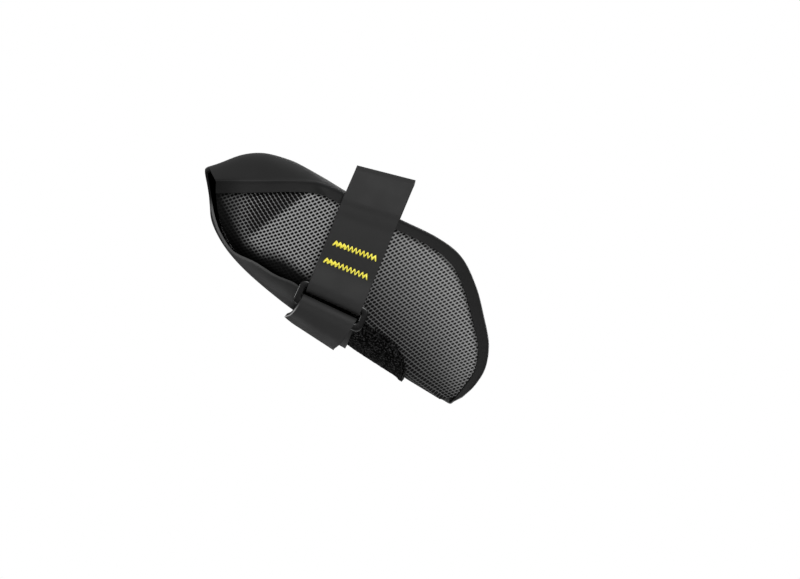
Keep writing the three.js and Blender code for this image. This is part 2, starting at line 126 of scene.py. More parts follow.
def smooth_path(knots, steps):
    """Rounded path through knots, with the same number of steps between each two of them."""
    k = np.asarray(knots, float)
    k = np.concatenate([[2 * k[0] - k[1]], k, [2 * k[-1] - k[-2]]])
    gaps = np.sqrt(np.linalg.norm(np.diff(k, axis=0), axis=-1, keepdims=True))
    made = [k[1:2]]
    t = np.linspace(0, 1, steps + 1)[1:].reshape([-1] + [1] * (k.ndim - 1))
    for a, b, c, d, g0, g1, g2 in zip(k, k[1:], k[2:], k[3:], gaps, gaps[1:], gaps[2:]):
        out = ((b - a) / g0 - (c - a) / (g0 + g1) + (c - b) / g1) * g1
        into = ((c - b) / g1 - (d - b) / (g1 + g2) + (d - c) / g2) * g1
        made.append(b + t * (out + t * (3 * (c - b) - 2 * out - into + t * (2 * (b - c) + out + into))))
    return np.concatenate(made)


# %% [markdown]
# A section knows where a depth above the bottom fold lies and how wide the pouch is there: round at the
# bottom, and above that a side that swells a little, as a filled bag does.

# %% Section
FOLD_SHARE = 0.45  # share of the girth that the rounded bottom takes
SIDE_BULGE = 1.2
SIDE_FULL = 40  # height from which a side bulges in full
NEARBY = 0.05  # stations to each side between which a slope is measured


class Section:
    """The pack cut across at stations s: 0 is the mouth, LAST the tip. depth is measured up from the fold."""

    def __init__(self, s):
        values = table_curve(SECTION_ROWS, s)
        for name, column in zip(SECTION_COLUMNS, np.moveaxis(values, -1, 0)):
            setattr(self, name, column)
        self.length = np.hypot(self.crease_x - self.bottom_x, self.crease_z - self.bottom_z)
        self.up_x = (self.crease_x - self.bottom_x) / self.length
        self.up_z = (self.crease_z - self.bottom_z) / self.length

    def point(self, depth, across):
        t = depth / self.length
        bow = self.bow * 4 * t * (1 - t)
        x = self.bottom_x + self.up_x * depth - self.up_z * bow
        z = self.bottom_z + self.up_z * depth + self.up_x * bow
        return vectors(x, across, z)

    def half_at(self, depth):
        """Half width of the pouch: a quarter ellipse round the bottom, then a slightly swelled side."""
        low = np.clip(1 - depth / self.round, 0, 1)
        side = self.length - self.round
        k = np.clip((depth - self.round) / side, 0, 1)
        bulge = SIDE_BULGE * np.minimum(1, (side / SIDE_FULL) ** 2) * 16 * (k * (1 - k)) ** 2
        wall = lerp(self.belly, self.half - SPINE_LAP, smooth_step(0, 1, k)) + bulge
        return np.where(depth < self.round, self.belly * np.sqrt(1 - low**2), wall)

    def girth_at(self, depth):
        return FOLD_SHARE * np.arccos(1 - np.minimum(depth / self.round, 1)) / (np.pi / 2)


def seam_normal(s):
    """Direction square to the seam, in the middle plane."""
    before = Section(np.maximum(s - NEARBY, 0))
    after = Section(np.minimum(s + NEARBY, LAST))
    return unit(vectors(before.crease_z - after.crease_z, 0.0, after.crease_x - before.crease_x))


def pouch_point(s, girth):
    """Outer face of the pouch. girth is 0 on the bottom fold and -1 or 1 at the upper edges."""
    c = Section(s)
    rise = c.point(c.length, 0.0) - c.point(c.length - 1, 0.0)
    square = np.sum(rise * seam_normal(s), axis=-1)
    top = c.length - (SPINE_LAP + GAP) / square
    g = np.abs(girth)
    fold = c.round * (1 - np.cos(np.minimum(g / FOLD_SHARE, 1) * np.pi / 2))
    side = c.round + (top - c.round) * (g - FOLD_SHARE) / (1 - FOLD_SHARE)
    depth = np.where(g < FOLD_SHARE, fold, side)
    return c.point(depth, np.sign(girth) * c.half_at(depth))


def over_pouch(s, girth, rise):
    """Point that lies off the pouch's face by rise."""
    step = 0.01
    along = pouch_point(s + step, girth) - pouch_point(s - step, girth)
    across = pouch_point(s, girth + step) - pouch_point(s, girth - step)
    return pouch_point(s, girth) + unit(np.cross(across, along)) * rise


print("section lengths, mm:", np.round(Section(np.arange(LAST + 1)).length).astype(int))

# %% [markdown]
# ## Cloth from a grid
# Cloth starts flat, so each piece starts as a flat bmesh grid. Its crossings are then bent onto the form,
# and every crossing keeps its place on the flat cloth as a UV in millimetres. A weave drawn on that UV map
# turns with the cloth round every bend. Marks are values from 0 to 1 at the crossings that a material can
# read. Solidify gives the wall its thickness and a small Bevel softens cut edges.

# %% Cloth helper
BEVEL_ANGLE = math.radians(55)
OUTER_FACE = -1.0  # which face of the wall the grid is
MIDDLE_FACE = 0.0


def flat_lengths(points, axis):
    """Length along the rows or columns of a grid of points, from its start."""
    steps = np.linalg.norm(np.diff(points, axis=axis), axis=-1)
    return np.concatenate([np.zeros_like(np.take(steps, [0], axis)), np.cumsum(steps, axis)], axis)


def flat_places(points):
    return np.stack([flat_lengths(points, 0), flat_lengths(points, 1)], axis=-1)


def bent_grid(name, points, flat, marks=None):
    """A flat grid bent to points (rows, columns, xyz). flat is each crossing's place on the flat cloth."""
    rows, columns = points.shape[:2]
    bm = bmesh.new()
    bmesh.ops.create_grid(bm, x_segments=rows - 1, y_segments=columns - 1, size=1.0)
    uv = bm.loops.layers.uv.new("cloth")
    layers = {key: bm.verts.layers.float.new(key) for key in marks or {}}
    place = {}
    for v in bm.verts:
        i = round((v.co.x + 1) / 2 * (rows - 1))
        j = round((v.co.y + 1) / 2 * (columns - 1))
        place[v] = (i, j)
    for face in bm.faces:
        face.smooth = True
        for loop in face.loops:
            loop[uv].uv = flat[place[loop.vert]]
    for v, spot in place.items():
        v.co = points[spot] * MM
        for key, layer in layers.items():
            v[layer] = marks[key][spot]
    bmesh.ops.remove_doubles(bm, verts=bm.verts, dist=1e-6)
    mesh = bpy.data.meshes.new(name)
    bm.to_mesh(mesh)
    bm.free()
    piece = bpy.data.objects.new(name, mesh)
    bpy.context.scene.collection.objects.link(piece)
    return piece


def cloth(name, points, flat, wall, face=OUTER_FACE, edge=0.25, marks=None):
    """A bent grid with a wall and softened edges."""
    piece = bent_grid(name, points, flat, marks)
    solid = piece.modifiers.new("wall", "SOLIDIFY")
    solid.thickness = wall * MM
    solid.offset = face
    solid.use_even_offset = True
    soft = piece.modifiers.new("soft_edge", "BEVEL")
    soft.limit_method = "ANGLE"
    soft.angle_limit = BEVEL_ANGLE
    soft.width = edge * MM
    soft.segments = 2
    soft.harden_normals = True
    return piece


def settle(piece, node, material):
    """Put a finished piece in the frame in place of a solid."""
    piece.data.materials.append(material)
    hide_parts(node)
    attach(piece, "root")
    print(f"{piece.name}: {len(piece.data.polygons)} faces before its wall")


# %% [markdown]
# ## Shader sums
# A material is a sum worked out at every point of a surface. Writing that sum as Python reads better than a
# long list of node links, so a small class wraps one socket: arithmetic on it adds Math nodes, and one
# method adds any other node.

# %% Shader helper
class Wire:
    """One output socket of a material that can be used in a sum."""

    def __init__(self, tree, socket=None):
        self.tree = tree
        self.socket = socket

    def node(self, kind, settings, sockets, output=0):
        made = self.tree.nodes.new("ShaderNode" + kind)
        for key, value in settings.items():
            setattr(made, key, value)
        for key, value in sockets.items():
            if isinstance(value, Wire):
                self.tree.links.new(value.socket, made.inputs[key])
            else:
                made.inputs[key].default_value = value
        return Wire(self.tree, made.outputs[output])

    def math(self, operation, *values):
        return self.node("Math", {"operation": operation}, dict(enumerate(values)))

    def __add__(self, other):
        return self.math("ADD", self, other)

    def __sub__(self, other):
        return self.math("SUBTRACT", self, other)

    def __rsub__(self, other):
        return self.math("SUBTRACT", other, self)

    def __mul__(self, other):
        return self.math("MULTIPLY", self, other)

    def __pow__(self, other):
        return self.math("POWER", self, other)

    def step(self, low, high, at_low=0.0, at_high=1.0):
        """Soft step from at_low to at_high while this goes from low to high."""
        sockets = {"Value": self, "From Min": low, "From Max": high, "To Min": at_low, "To Max": at_high}
        return self.node("MapRange", {"interpolation_type": "SMOOTHSTEP"}, sockets)

    def split(self):
        made = self.node("SeparateXYZ", {}, {"Vector": self}).socket.node
        return [Wire(self.tree, socket) for socket in made.outputs]

    def mix(self, low, high):
        """Colour that goes from low to high as this goes from 0 to 1."""
        sockets = {"Factor": self, 6: low, 7: high}
        return self.node("Mix", {"data_type": "RGBA"}, sockets, output=2)

    def noise(self, scale, detail=2.0):
        """Grain at this place, from 0 to 1; scale is in lumps for each unit of it."""
        sockets = {"Vector": self, "Scale": scale, "Detail": detail}
        return self.node("TexNoise", {"noise_dimensions": "3D"}, sockets)


# %% [markdown]
# A finish is a material with the two places that its grain can be drawn on: the flat cloth, for a weave,
# and the object itself, for dust-fine grain. What is the same all over is set on its shader directly.

# %% Finish helper
def grey(value):
    """Opaque grey from a tone of 0 to 255 as a picture shows it."""
    tone = value / 255
    linear = tone / 12.92 if tone <= 0.04045 else ((tone + 0.055) / 1.055) ** 2.4
    return (linear, linear, linear, 1.0)


class Finish:
    """A material with its shader, its places to read, and what varies over the surface."""

    def __init__(self, name, **constants):
        self.material = bpy.data.materials.new(name)
        self.material.use_nodes = True
        self.tree = self.material.node_tree
        self.shader = self.tree.nodes["Principled BSDF"]
        for key, value in constants.items():
            self.shader.inputs[key.replace("_", " ")].default_value = value
        start = Wire(self.tree)
        self.flat = start.node("UVMap", {"uv_map": "cloth"}, {})
        self.place = start.node("TexCoord", {}, {}, output="Object")

    def mark(self, name):
        return self.place.node("Attribute", {"attribute_name": name}, {}, output="Fac")

    def set(self, socket, value):
        self.tree.links.new(value.socket, self.shader.inputs[socket])

    def bump(self, height, depth):
        """Raise the surface by a height of 0 to 1 over a depth in millimetres."""
        sockets = {"Height": height, "Distance": depth * MM, "Strength": 1.0}
        self.set("Normal", height.node("Bump", {}, sockets))


# %% [markdown]
# ## Finishes
# The side cloth is woven from thick grey threads on a skewed lattice, with a dark hole in each mesh. The
# holes could be cut as geometry, but there are thousands of them and only darkness shows through, so they
# are drawn. Two phases count meshes along the two directions of the weave, and a squarish oval in what is
# left of each phase is the hole. Behind the fold, where the cloth is seen askew and turned from the light,
# and low in front, the holes are drawn running together into dark lines, as a painted shade. In front they
# are smaller and paler.

# %% Woven side cloth
MESH = np.array([[1.454, 0.5875], [1.1475, -1.4987]])  # ways to the next holes on the flat cloth
HOLE_TURN = math.radians(-62)
HOLE_LENGTH = 0.70  # half sizes of a hole
HOLE_WIDTH = 0.51
HOLE_EDGE = (1.7, 0.35)  # oval sums at which the thread ends and the full hole starts
# painted shade: the holes grow together into dark lines where the behind_fold mark is full
LONGER_BEHIND = 0.2
WIDER_BEHIND = 0.8
FRONT_X = (-20.0, 30.0)  # between these the holes grow smaller and paler
SMALLER_IN_FRONT = 0.35


def turned(x, y, angle):
    """Two coordinates on axes turned by an angle."""
    return x * math.cos(angle) + y * math.sin(angle), y * math.cos(angle) - x * math.sin(angle)


def woven_cloth():
    finish = Finish("woven_cloth", Roughness=0.8, Specular_IOR_Level=0.06)
    u, v, _ = finish.flat.split()
    x, _, _ = finish.place.split()
    phases = [u * a + v * b for a, b in np.linalg.inv(MESH.T)]
    first, second = (phase.math("FRACT", phase) - 0.5 for phase in phases)
    along, across = turned(*(first * a + second * b for a, b in MESH.T), HOLE_TURN)
    # painted shade behind the fold and low in front
    behind = finish.mark("behind_fold")
    along = along * (1 / HOLE_LENGTH - behind * LONGER_BEHIND)
    across = across * (1 / HOLE_WIDTH - behind * WIDER_BEHIND)
    front = x.step(*(edge * MM for edge in FRONT_X))
    hole = ((along**4 + across**4) * (front * SMALLER_IN_FRONT + 1)).step(*HOLE_EDGE)
    rising, falling = (phase.math("ABSOLUTE", phase) * 2 for phase in (first, second))
    fibre = finish.place.noise(2600.0, 3.0)
    tone = rising * 0.4 + falling * 0.3 + fibre * 0.3
    weave = hole.mix(tone.mix(grey(90), grey(172)), front.mix(grey(6), grey(34)))
    finish.set("Base Color", finish.mark("shade").mix(weave, grey(6)))
    finish.bump(tone * 0.4 + (1 - hole) * 0.6, 0.2)
    return finish.material


WOVEN_CLOTH = woven_cloth()

# %% [markdown]
# The panel and flap are a tight cloth under a dull black coating: almost smooth, with a fine grain and a
# little unevenness in its gloss. A coating like that shows most of its colour as a soft sheen of the light.
# Two marks change it. One makes cut edges and creases paler: partly the bare cloth of a cut edge, partly a
# painted highlight where an edge catches the light. The other is a painted shade: where the cloth turns
# in at the mouth its colour is darkened, and it is rougher there.

# %% Black coated cloth
COATED_EDGE_AND_HIGHLIGHT = grey(66)
DULLER = 0.38  # added roughness where the mark is full


def coated_cloth():
    finish = Finish("coated_cloth", Specular_IOR_Level=0.3)
    grain = finish.place.noise(1800.0, 3.0)
    cloud = finish.place.noise(60.0, 2.0)
    # painted shade: the shade mark darkens the colour and adds roughness
    shade_and_dull = finish.mark("shade")
    face = shade_and_dull.mix((grain * 0.5 + cloud * 0.5).mix(grey(8), grey(20)), grey(0))
    # painted highlight: pale cut edges and creases, partly the bare cloth of a cut edge
    finish.set("Base Color", finish.mark("cut").mix(face, COATED_EDGE_AND_HIGHLIGHT))
    finish.set("Roughness", cloud.step(0.3, 0.7, 0.5, 0.62) + shade_and_dull * DULLER)
    finish.bump(grain, 0.05)
    return finish.material


COATED_CLOTH = coated_cloth()

# %% [markdown]
# The strap is a flat webbing. Its ribs are only about half a millimetre apart, so they show as a faint fine
# grain along the strap. The rear edge of its free end shows as a thin pale line: partly its cut edge,
# partly a painted highlight where that edge catches the light.

# %% Strap webbing
RIB_PITCH = 0.55
CORD_PITCH = 0.8
WEBBING_EDGE_AND_HIGHLIGHT = grey(190)


def wave(place, pitch):
    turns = place * (2 * math.pi / pitch)
    return turns.math("SINE", turns)


def webbing():
    finish = Finish("webbing", Specular_IOR_Level=0.25)
    u, v, _ = finish.flat.split()
    weave = wave(v, RIB_PITCH) * wave(u, CORD_PITCH) * 0.5 + 0.5
    wear = finish.place.noise(90.0, 3.0)
    face = (weave * 0.3 + wear * 0.7).mix(grey(27), grey(41))
    finish.set("Base Color", finish.mark("cut").mix(face, WEBBING_EDGE_AND_HIGHLIGHT))
    finish.set("Roughness", wear.step(0.3, 0.7, 0.58, 0.7))
    finish.bump(weave, 0.05)
    return finish.material


WEBBING = webbing()

# %% [markdown]
# The fastening patch is a deep black pile of tiny loops that swallows light, with a few loops catching it.
# The ring is moulded black plastic with a dull shine. Thread is a twist of fibres, so it is rough and its
# colour changes a little from one fibre to the next.

# %% Loop pile, plastic and thread
def loop_pile():
    finish = Finish("loop_pile", Roughness=0.95, Specular_IOR_Level=0.03)
    tuft = finish.place.noise(1100.0, 4.0)
    finish.set("Base Color", tuft.step(0.48, 0.7).mix(grey(2), grey(64)))
    finish.bump(tuft, 0.5)
    return finish.material


def moulded_plastic():
    finish = Finish("moulded_plastic")
    grain = finish.place.noise(2200.0, 2.0)
    finish.set("Base Color", grain.mix(grey(8), grey(16)))
    finish.set("Roughness", grain.step(0.3, 0.7, 0.18, 0.24))
    finish.bump(grain, 0.008)
    return finish.material


def thread(name, dark, light):
    finish = Finish(name, Roughness=0.8, Specular_IOR_Level=0.2)
    twist = finish.place.noise(2400.0, 2.0)
    finish.set("Base Color", twist.step(0.3, 0.7).mix(dark, light))
    finish.bump(twist, 0.06)
    return finish.material


LOOP_PILE = loop_pile()
PLASTIC = moulded_plastic()
YELLOW_THREAD = thread("yellow_thread", (0.80, 0.64, 0.02, 1.0), (1.0, 0.96, 0.18, 1.0))
BLACK_THREAD = thread("black_thread", grey(4), grey(16))
print("finishes:", sorted(m.name for m in bpy.data.materials))

# %% [markdown]
# ## Pouch
# Both sides and the bottom are one folded piece of weave, closed at the tip and open at the mouth. A cloth
# simulation could drape it, but its outline is known all round, so a grid is bent onto the sections and
# stays true to them. A fold runs up each side behind the strap as a low ridge, and slow dents make the
# sides less even. The weave's own direction is fixed in the flat cloth, so each crossing's flat place is
# found by rolling the fold open: one coordinate runs along the fold, and the other adds up the girth from
# the bottom.

# %% Pouch shape
RIDGE_START = np.array([-60.9, -28.9])  # fold ridge on each side, x and z
RIDGE_END = np.array([-32.5, -7.9])
RIDGE_RISE = 0.9
RIDGE_SPREAD = 5.0
RIDGE_GROWS = (-0.3, 0.2)  # shares of the ridge's way over which it rises and sinks again
RIDGE_SINKS = (1.25, 0.9)
DENT = 0.5
DENT_SIZE = 17.0
SEAM_FADE = 0.12  # share of the girth below the seam that has no full dents
TIP_BULGE = 2.7
TIP_SKEW = 1.6
WEAVE_X = 0.848  # direction of the fold line, in the middle plane
WEAVE_Z = -0.530
TO_MIDDLE = np.array([1, 0, 1])


def ridge_distance(points):
    """Distance behind the fold ridge, and way along it as a share."""
    run = RIDGE_END - RIDGE_START
    length = np.linalg.norm(run)
    run = run / length
    x = points[..., 0] - RIDGE_START[0]
    z = points[..., 2] - RIDGE_START[1]
    return z * run[0] - x * run[1], (x * run[0] + z * run[1]) / length


def unevenness(points, size):
    """Slow hills and hollows from 0 to 1 at each point; size is their spacing."""
    flat = points.reshape(-1, 3) / size
    values = [noise.noise(Vector(p)) for p in flat]
    return 0.5 + 0.5 * np.array(values).reshape(points.shape[:-1])


def grid_normals(points):
    along = np.gradient(points, axis=0)
    across = np.gradient(points, axis=1)
    return unit(np.cross(along, across) + 1e-9)


def creased(points, stations, girths):
    """The sides with the fold ridge raised and the dents pressed in."""
    behind, along = ridge_distance(points)
    on_side = smooth_step(FOLD_SHARE * 0.6, FOLD_SHARE * 1.2, np.abs(girths))[None, :]
    reach = smooth_step(*RIDGE_GROWS, along) * smooth_step(*RIDGE_SINKS, along)
    crest = RIDGE_RISE * np.exp(-((behind / RIDGE_SPREAD) ** 2)) * reach * on_side
    inner = smooth_step(0.0, SEAM_FADE, 1 - np.abs(girths))[None, :]
    dents = DENT * unevenness(points, DENT_SIZE) * inner * smooth_step(LAST, LAST - 3, stations)
    return points + grid_normals(points) * (crest - dents)[..., None]


def closing_rows(tip):
    """Two rows that bring both sides together at the tip, in a rounded point."""
    fold = tip[len(tip) // 2]
    chord = tip[0] * TO_MIDDLE - fold
    outward = unit(np.array([chord[2], 0, -chord[0]]))
    t = np.clip((tip * TO_MIDDLE - fold) @ chord / (chord @ chord), 0, 1)
    closed = tip * TO_MIDDLE + outward * (TIP_BULGE * np.sin(np.pi * t**TIP_SKEW))[:, None]
    return np.stack([lerp(tip, closed, 0.5), closed])


def rolled_open(points, girths):
    """Flat place of each crossing of the pouch."""
    along = points[..., 0] * WEAVE_X + points[..., 2] * WEAVE_Z
    steps = np.linalg.norm(np.diff(points, axis=1), axis=-1)
    skew = np.diff(along, axis=1)
    rows = np.sqrt(np.maximum(steps**2 - skew**2, 0))
    around = np.concatenate([np.zeros((len(points), 1)), np.cumsum(rows, axis=1)], axis=1)
    middle = len(girths) // 2
    around = around[:, middle : middle + 1] - around
    sunk = points[:, middle, 2] * WEAVE_X - points[:, middle, 0] * WEAVE_Z
    drift = (sunk - sunk[0])[:, None] * smooth_step(0.0, FOLD_SHARE, np.abs(girths))[None, :]
    return np.stack([along, around + np.sign(girths)[None, :] * drift], axis=-1)


print("fold ridge, mm long:", round(float(np.linalg.norm(RIDGE_END - RIDGE_START)), 1))

# %% [markdown]
# The cloth is dark deep in the mouth and along the flap, dim just behind the fold, and dark again low in
# front, where it turns under. Such tones could come from lamps alone, but the deep ones need more shade
# than an even light gives. They are marks on the grid, so they stay on the cloth from every side.

# %% Pouch tones
SHADE_COLUMNS = ["x", "z", "reach"]  # where the cloth is half dark behind the strap
SHADE_ROWS = np.array([
    [-80.0, 2.0, 7.0],
    [-76.0, -2.0, 7.0],
    [-72.0, -10.5, 8.0],
    [-68.0, -18.7, 8.0],
    [-64.0, -27.3, 6.0],
    [-60.2, -31.4, 4.0],
    [-56.6, -33.9, 4.0],
    [-49.3, -35.4, 4.0],
    [-45.7, -36.8, 4.0],
    [-38.5, -41.8, 4.0],
    [-30.0, -48.0, 4.0],
])
REAR_SHADE = 0.99
LOW_SHADE = 0.66
LOW_HEIGHTS = (1.93, 0.33)  # heights over the fold between which the cloth grows dark in front
LOW_REACH = 6.0
# painted shade: the holes also run together low in front, where the cloth turns under
LOW_HOLES = 0.6  # how far the holes run together low in front, and over which heights
LOW_HOLES_HEIGHTS = (1.0, 0.35)
STRAP_STATIONS = (6.3, 7.2)  # the front starts between these, under the strap
ZONE_BEHIND = (-0.5, 3.0)  # the zone behind the fold starts over these distances and shares of its way
ZONE_ALONG = (-0.2, 0.1)
LATTICE_AGAIN = (-58.0, -69.0)  # towards the mouth the weave shows as a dim lattice again
MOUTH_SHADE = 0.76
FOLD_SHADE = 0.36
FOLD_SHADE_REACH = (14.0, 4.0)  # distances behind the fold over which it grows dark


def height_over_fold(points, stations):
    """Height over the bottom fold, in about half widths of the pack."""
    c = Section(stations)
    height = (points[..., 0] - c.bottom_x) * c.up_x + (points[..., 2] - c.bottom_z) * c.up_z
    return height / (c.belly + LOW_REACH)


def shade(points, stations):
    """How dark the cloth is at each point, from 0 to 1: in the mouth, along the flap and low in front."""
    edge = dict(zip(SHADE_COLUMNS, SHADE_ROWS.T))
    x = points[..., 0]
    height = points[..., 2] - np.interp(x, edge["x"], edge["z"])
    rear = smooth_step(1, -1, height / np.interp(x, edge["x"], edge["reach"]))
    low = smooth_step(*LOW_HEIGHTS, height_over_fold(points, stations))
    return lerp(REAR_SHADE * rear, LOW_SHADE * low, smooth_step(*STRAP_STATIONS, stations))


def pouch_marks(points, stations):
    behind, along = ridge_distance(points)
    zone = smooth_step(*ZONE_BEHIND, behind) * smooth_step(*ZONE_ALONG, along)
    lattice = smooth_step(*LATTICE_AGAIN, points[..., 0])
    # painted shade: dark lines of merged holes behind the fold and low in front
    low = smooth_step(*LOW_HOLES_HEIGHTS, height_over_fold(points, stations))
    under = LOW_HOLES * low * smooth_step(*STRAP_STATIONS, stations)
    light = (1 - shade(points, stations)) * (1 - MOUTH_SHADE * zone * lattice)
    light = light * (1 - FOLD_SHADE * zone * (1 - lattice) * smooth_step(*FOLD_SHADE_REACH, behind))
    return {"behind_fold": np.maximum(zone * (1 - lattice), under), "shade": 1 - light}


def pouch():
    stations = np.linspace(0, LAST, 151)[:, None]
    girths = np.linspace(1, -1, 181)
    points = creased(pouch_point(stations, girths[None, :]), stations, girths)
    points = np.concatenate([points, closing_rows(points[-1])])
    stations = np.append(stations[:, 0], [LAST, LAST])[:, None]
    marks = pouch_marks(points, stations)
    return cloth("pouch", points, rolled_open(points, girths), POUCH_WALL, marks=marks), points


POUCH, pouch_grid = pouch()
settle(POUCH, "pouch_body", WOVEN_CLOTH)

# %% [markdown]
# ## Top and front panel
# One long panel lies over the top, folds down over both sides as a narrow band and follows the front edge
# to the tip. It could be a plain strip with a Bevel along its creases, but the band changes its width and
# slant all the way. So each row of the grid is a band, a rounded crease, the crown, and the same again. The
# crease is a small curve and not a hard corner, so that it catches a thin line of light.

# %% Panel rows
BAND_POINTS = 6
CREASE_POINTS = 5
CROWN_POINTS = 21
CREASE_COLUMN = BAND_POINTS + CREASE_POINTS // 2
CROWN_POWER = 3.0
REAR_BOW = 4.2
CREASE = 0.9  # radius of the crease between band and crown
BEAD = 0.35  # rise of the crease
BAND_SHARE = 0.55  # share of a section that the band takes at most


def lap_across(s, drop):
    """Distance from the pouch to the panel's outer face, measured across, where the sides slope."""
    ends = []
    for at in (s - NEARBY, s + NEARBY):
        c = Section(np.clip(at, 0, LAST))
        ends.append(c.point(c.length - drop, c.half_at(c.length - drop)))
    run = ends[1] - ends[0]
    return SPINE_LAP * np.hypot(1, run[..., 1] / np.hypot(run[..., 0], run[..., 2]))


def panel_rows(s, lap_share):
    """Rows of the panel from band to band over the crown, at stations s."""
    c = Section(s)
    flange = lap_share * np.minimum(c.flange, BAND_SHARE * c.length)
    crease = np.minimum(CREASE, 0.5 * flange)
    up = seam_normal(s)
    rear = REAR_BOW * np.maximum(0, 1 - s) ** 2

    def band(drop):
        return c.point(c.length - drop, c.half_at(c.length - drop) + lap_across(s, drop))

    edge = band(0.0 * s)
    half = edge[..., 1]
    inner = 1 - crease / half

    def crown(f):
        rise = 1 - np.abs(f) ** CROWN_POWER
        p = c.point(c.length, f * half) + up * (c.crown * rise)[..., None]
        p[..., 0] -= rear * rise
        return p

    lower = band(lerp(crease, flange, np.linspace(1, 0, BAND_POINTS)[None, :]))
    turn = np.linspace(0, 1, CREASE_POINTS + 2)[None, 1:-1, None]
    corner = lerp(lerp(band(crease), edge, turn), lerp(edge, crown(inner), turn), turn)
    bead = BEAD * smooth_step(LAST, LAST - 1, s)[..., None]
    corner = corner + bead * np.sin(np.pi * turn) * unit(up + [0, 1, 0])
    upper = crown(inner * np.linspace(1, 0, CROWN_POINTS)[None, :])
    far = np.concatenate([lower, corner, upper], axis=1)
    near = far[:, :-1] * [1, -1, 1]
    return np.concatenate([near, far[:, ::-1]], axis=1)


print("points across the panel:", panel_rows(np.array([[0.0]]), 1.0).shape[1])

# %% [markdown]
# At the front end the panel goes on past the pouch and narrows to a point. Beside the strap its band
# puckers a little, where it bends down. A paler line along its creases is a painted highlight, and the
# band's colour is darkened where it turns in at the mouth, a painted shade.

# %% Panel
TIP_COVER = 6.2
TIP_LAP = 0.1
TIP_TURN = math.radians(17)
TIP_SHARES = (0.25, 0.5, 0.75, 1.0)
PUCKER = 0.6
PUCKER_X = -28.8
PUCKER_WIDTH = 1.8
# painted highlight: how much paler the line along each crease is drawn
CREASE_HIGHLIGHT = 0.18
# painted shade: the band's colour is darkened towards the mouth, where it turns in, and it is rougher there
BAND_SHADE = 0.95
BAND_SHADE_X = (-58.0, -75.0)  # between these the band grows dull towards the mouth


def panel():
    body = panel_rows(np.linspace(0, LAST, 151)[:, None], 1.0)
    end = np.array([[float(LAST)]])
    up = seam_normal(end[0, 0])
    onward = up[[2, 1, 0]] * [1, 1, -1] * math.cos(TIP_TURN) - up * math.sin(TIP_TURN)
    tip = [panel_rows(end, lerp(1.0, TIP_LAP, t)) + onward * TIP_COVER * t for t in TIP_SHARES]
    points = np.concatenate([body, *tip])
    column = np.arange(points.shape[1])
    column = np.minimum(column, column[::-1])
    on_band = smooth_step(CREASE_COLUMN + CREASE_POINTS, CREASE_COLUMN, column)
    x = points[..., 0]
    pucker = PUCKER * np.exp(-(((x - PUCKER_X) / PUCKER_WIDTH) ** 2)) * smooth_step(-1, 3, column) * on_band
    points[..., 1] += np.sign(points[..., 1]) * pucker
    # painted highlight along both creases
    crease_highlight = np.zeros(points.shape[:2])
    crease_highlight[:, [CREASE_COLUMN, -1 - CREASE_COLUMN]] = CREASE_HIGHLIGHT
    # painted shade on the band near the mouth
    marks = {"cut": crease_highlight, "shade": BAND_SHADE * smooth_step(*BAND_SHADE_X, x) * on_band}
    return cloth("top_panel", points, flat_places(points), SPINE_WALL, marks=marks), points


PANEL, panel_grid = panel()
settle(PANEL, "spine_panel", COATED_CLOTH)

# %% [markdown]
# ## Rear flap
# The panel goes on at the rear as a tongue that hangs over the mouth and is tucked under the strap. It
# could be part of the panel's own grid, but its edges leave the seam and run freely. So its free part is a
# table of cross rows, and its end lies on the pouch. One smooth path down each column joins them.

# %% Flap
FLAP_CUP_POWER = 3.2
FLAP_COLUMNS = ["centre_x", "centre_z", "near_x", "near_z", "near_half", "far_x", "far_z", "far_half"]
FLAP_ROWS = np.array([
    [-80.9, 4.8, -79.7, 2.7, 14.2, -76.5, -2.1, 20.95],
    [-82.2, 3.8, -81.3, 2.1, 14.4, -77.2, -2.4, 21.7],
    [-82.4, 2.3, -81.6, 0.8, 14.8, -76.5, -3.6, 22.4],
    [-82.0, 0.0, -81.4, -1.4, 15.6, -76.0, -5.2, 22.9],
    [-81.3, -3.0, -80.9, -4.0, 16.6, -75.7, -7.4, 23.4],
    [-80.5, -7.4, -80.2, -8.0, 18.2, -75.5, -10.4, 23.8],
    [-80.1, -13.0, -79.3, -13.3, 20.0, -75.0, -14.4, 24.2],
    [-79.5, -19.4, -77.9, -19.5, 22.0, -74.2, -19.4, 24.7],
    [-76.6, -26.6, -75.0, -26.8, 24.0, -71.6, -26.6, 26.0],
    [-70.7, -35.5, -69.3, -34.8, 26.0, -66.3, -33.5, 28.4],
    [-61.7, -45.0, -59.1, -39.8, 27.5, -57.3, -38.8, 28.6],
])
FLAP_END_ROWS = [(2.6, 9.5), (4.3, 9.5), (5.2, 7.5), (5.8, 4.0)]  # station, reach up each side
# painted highlight: the flap's cut edge is drawn pale only low down, where it catches the light
CUT_SHARES = (0.97, 1.0)  # the bare cut edge, as shares of the half width
CUT_HEIGHTS = (-9.0, -16.0)  # heights between which it starts to show
CUT_DIMS = (-28.0, -38.0)  # and grows darker again
CUT_DIM = 0.65
# painted shade: the flap's side edges are darkened near the top, and rougher there
SHADE_AND_DULL_SHARES = (0.7, 0.9)


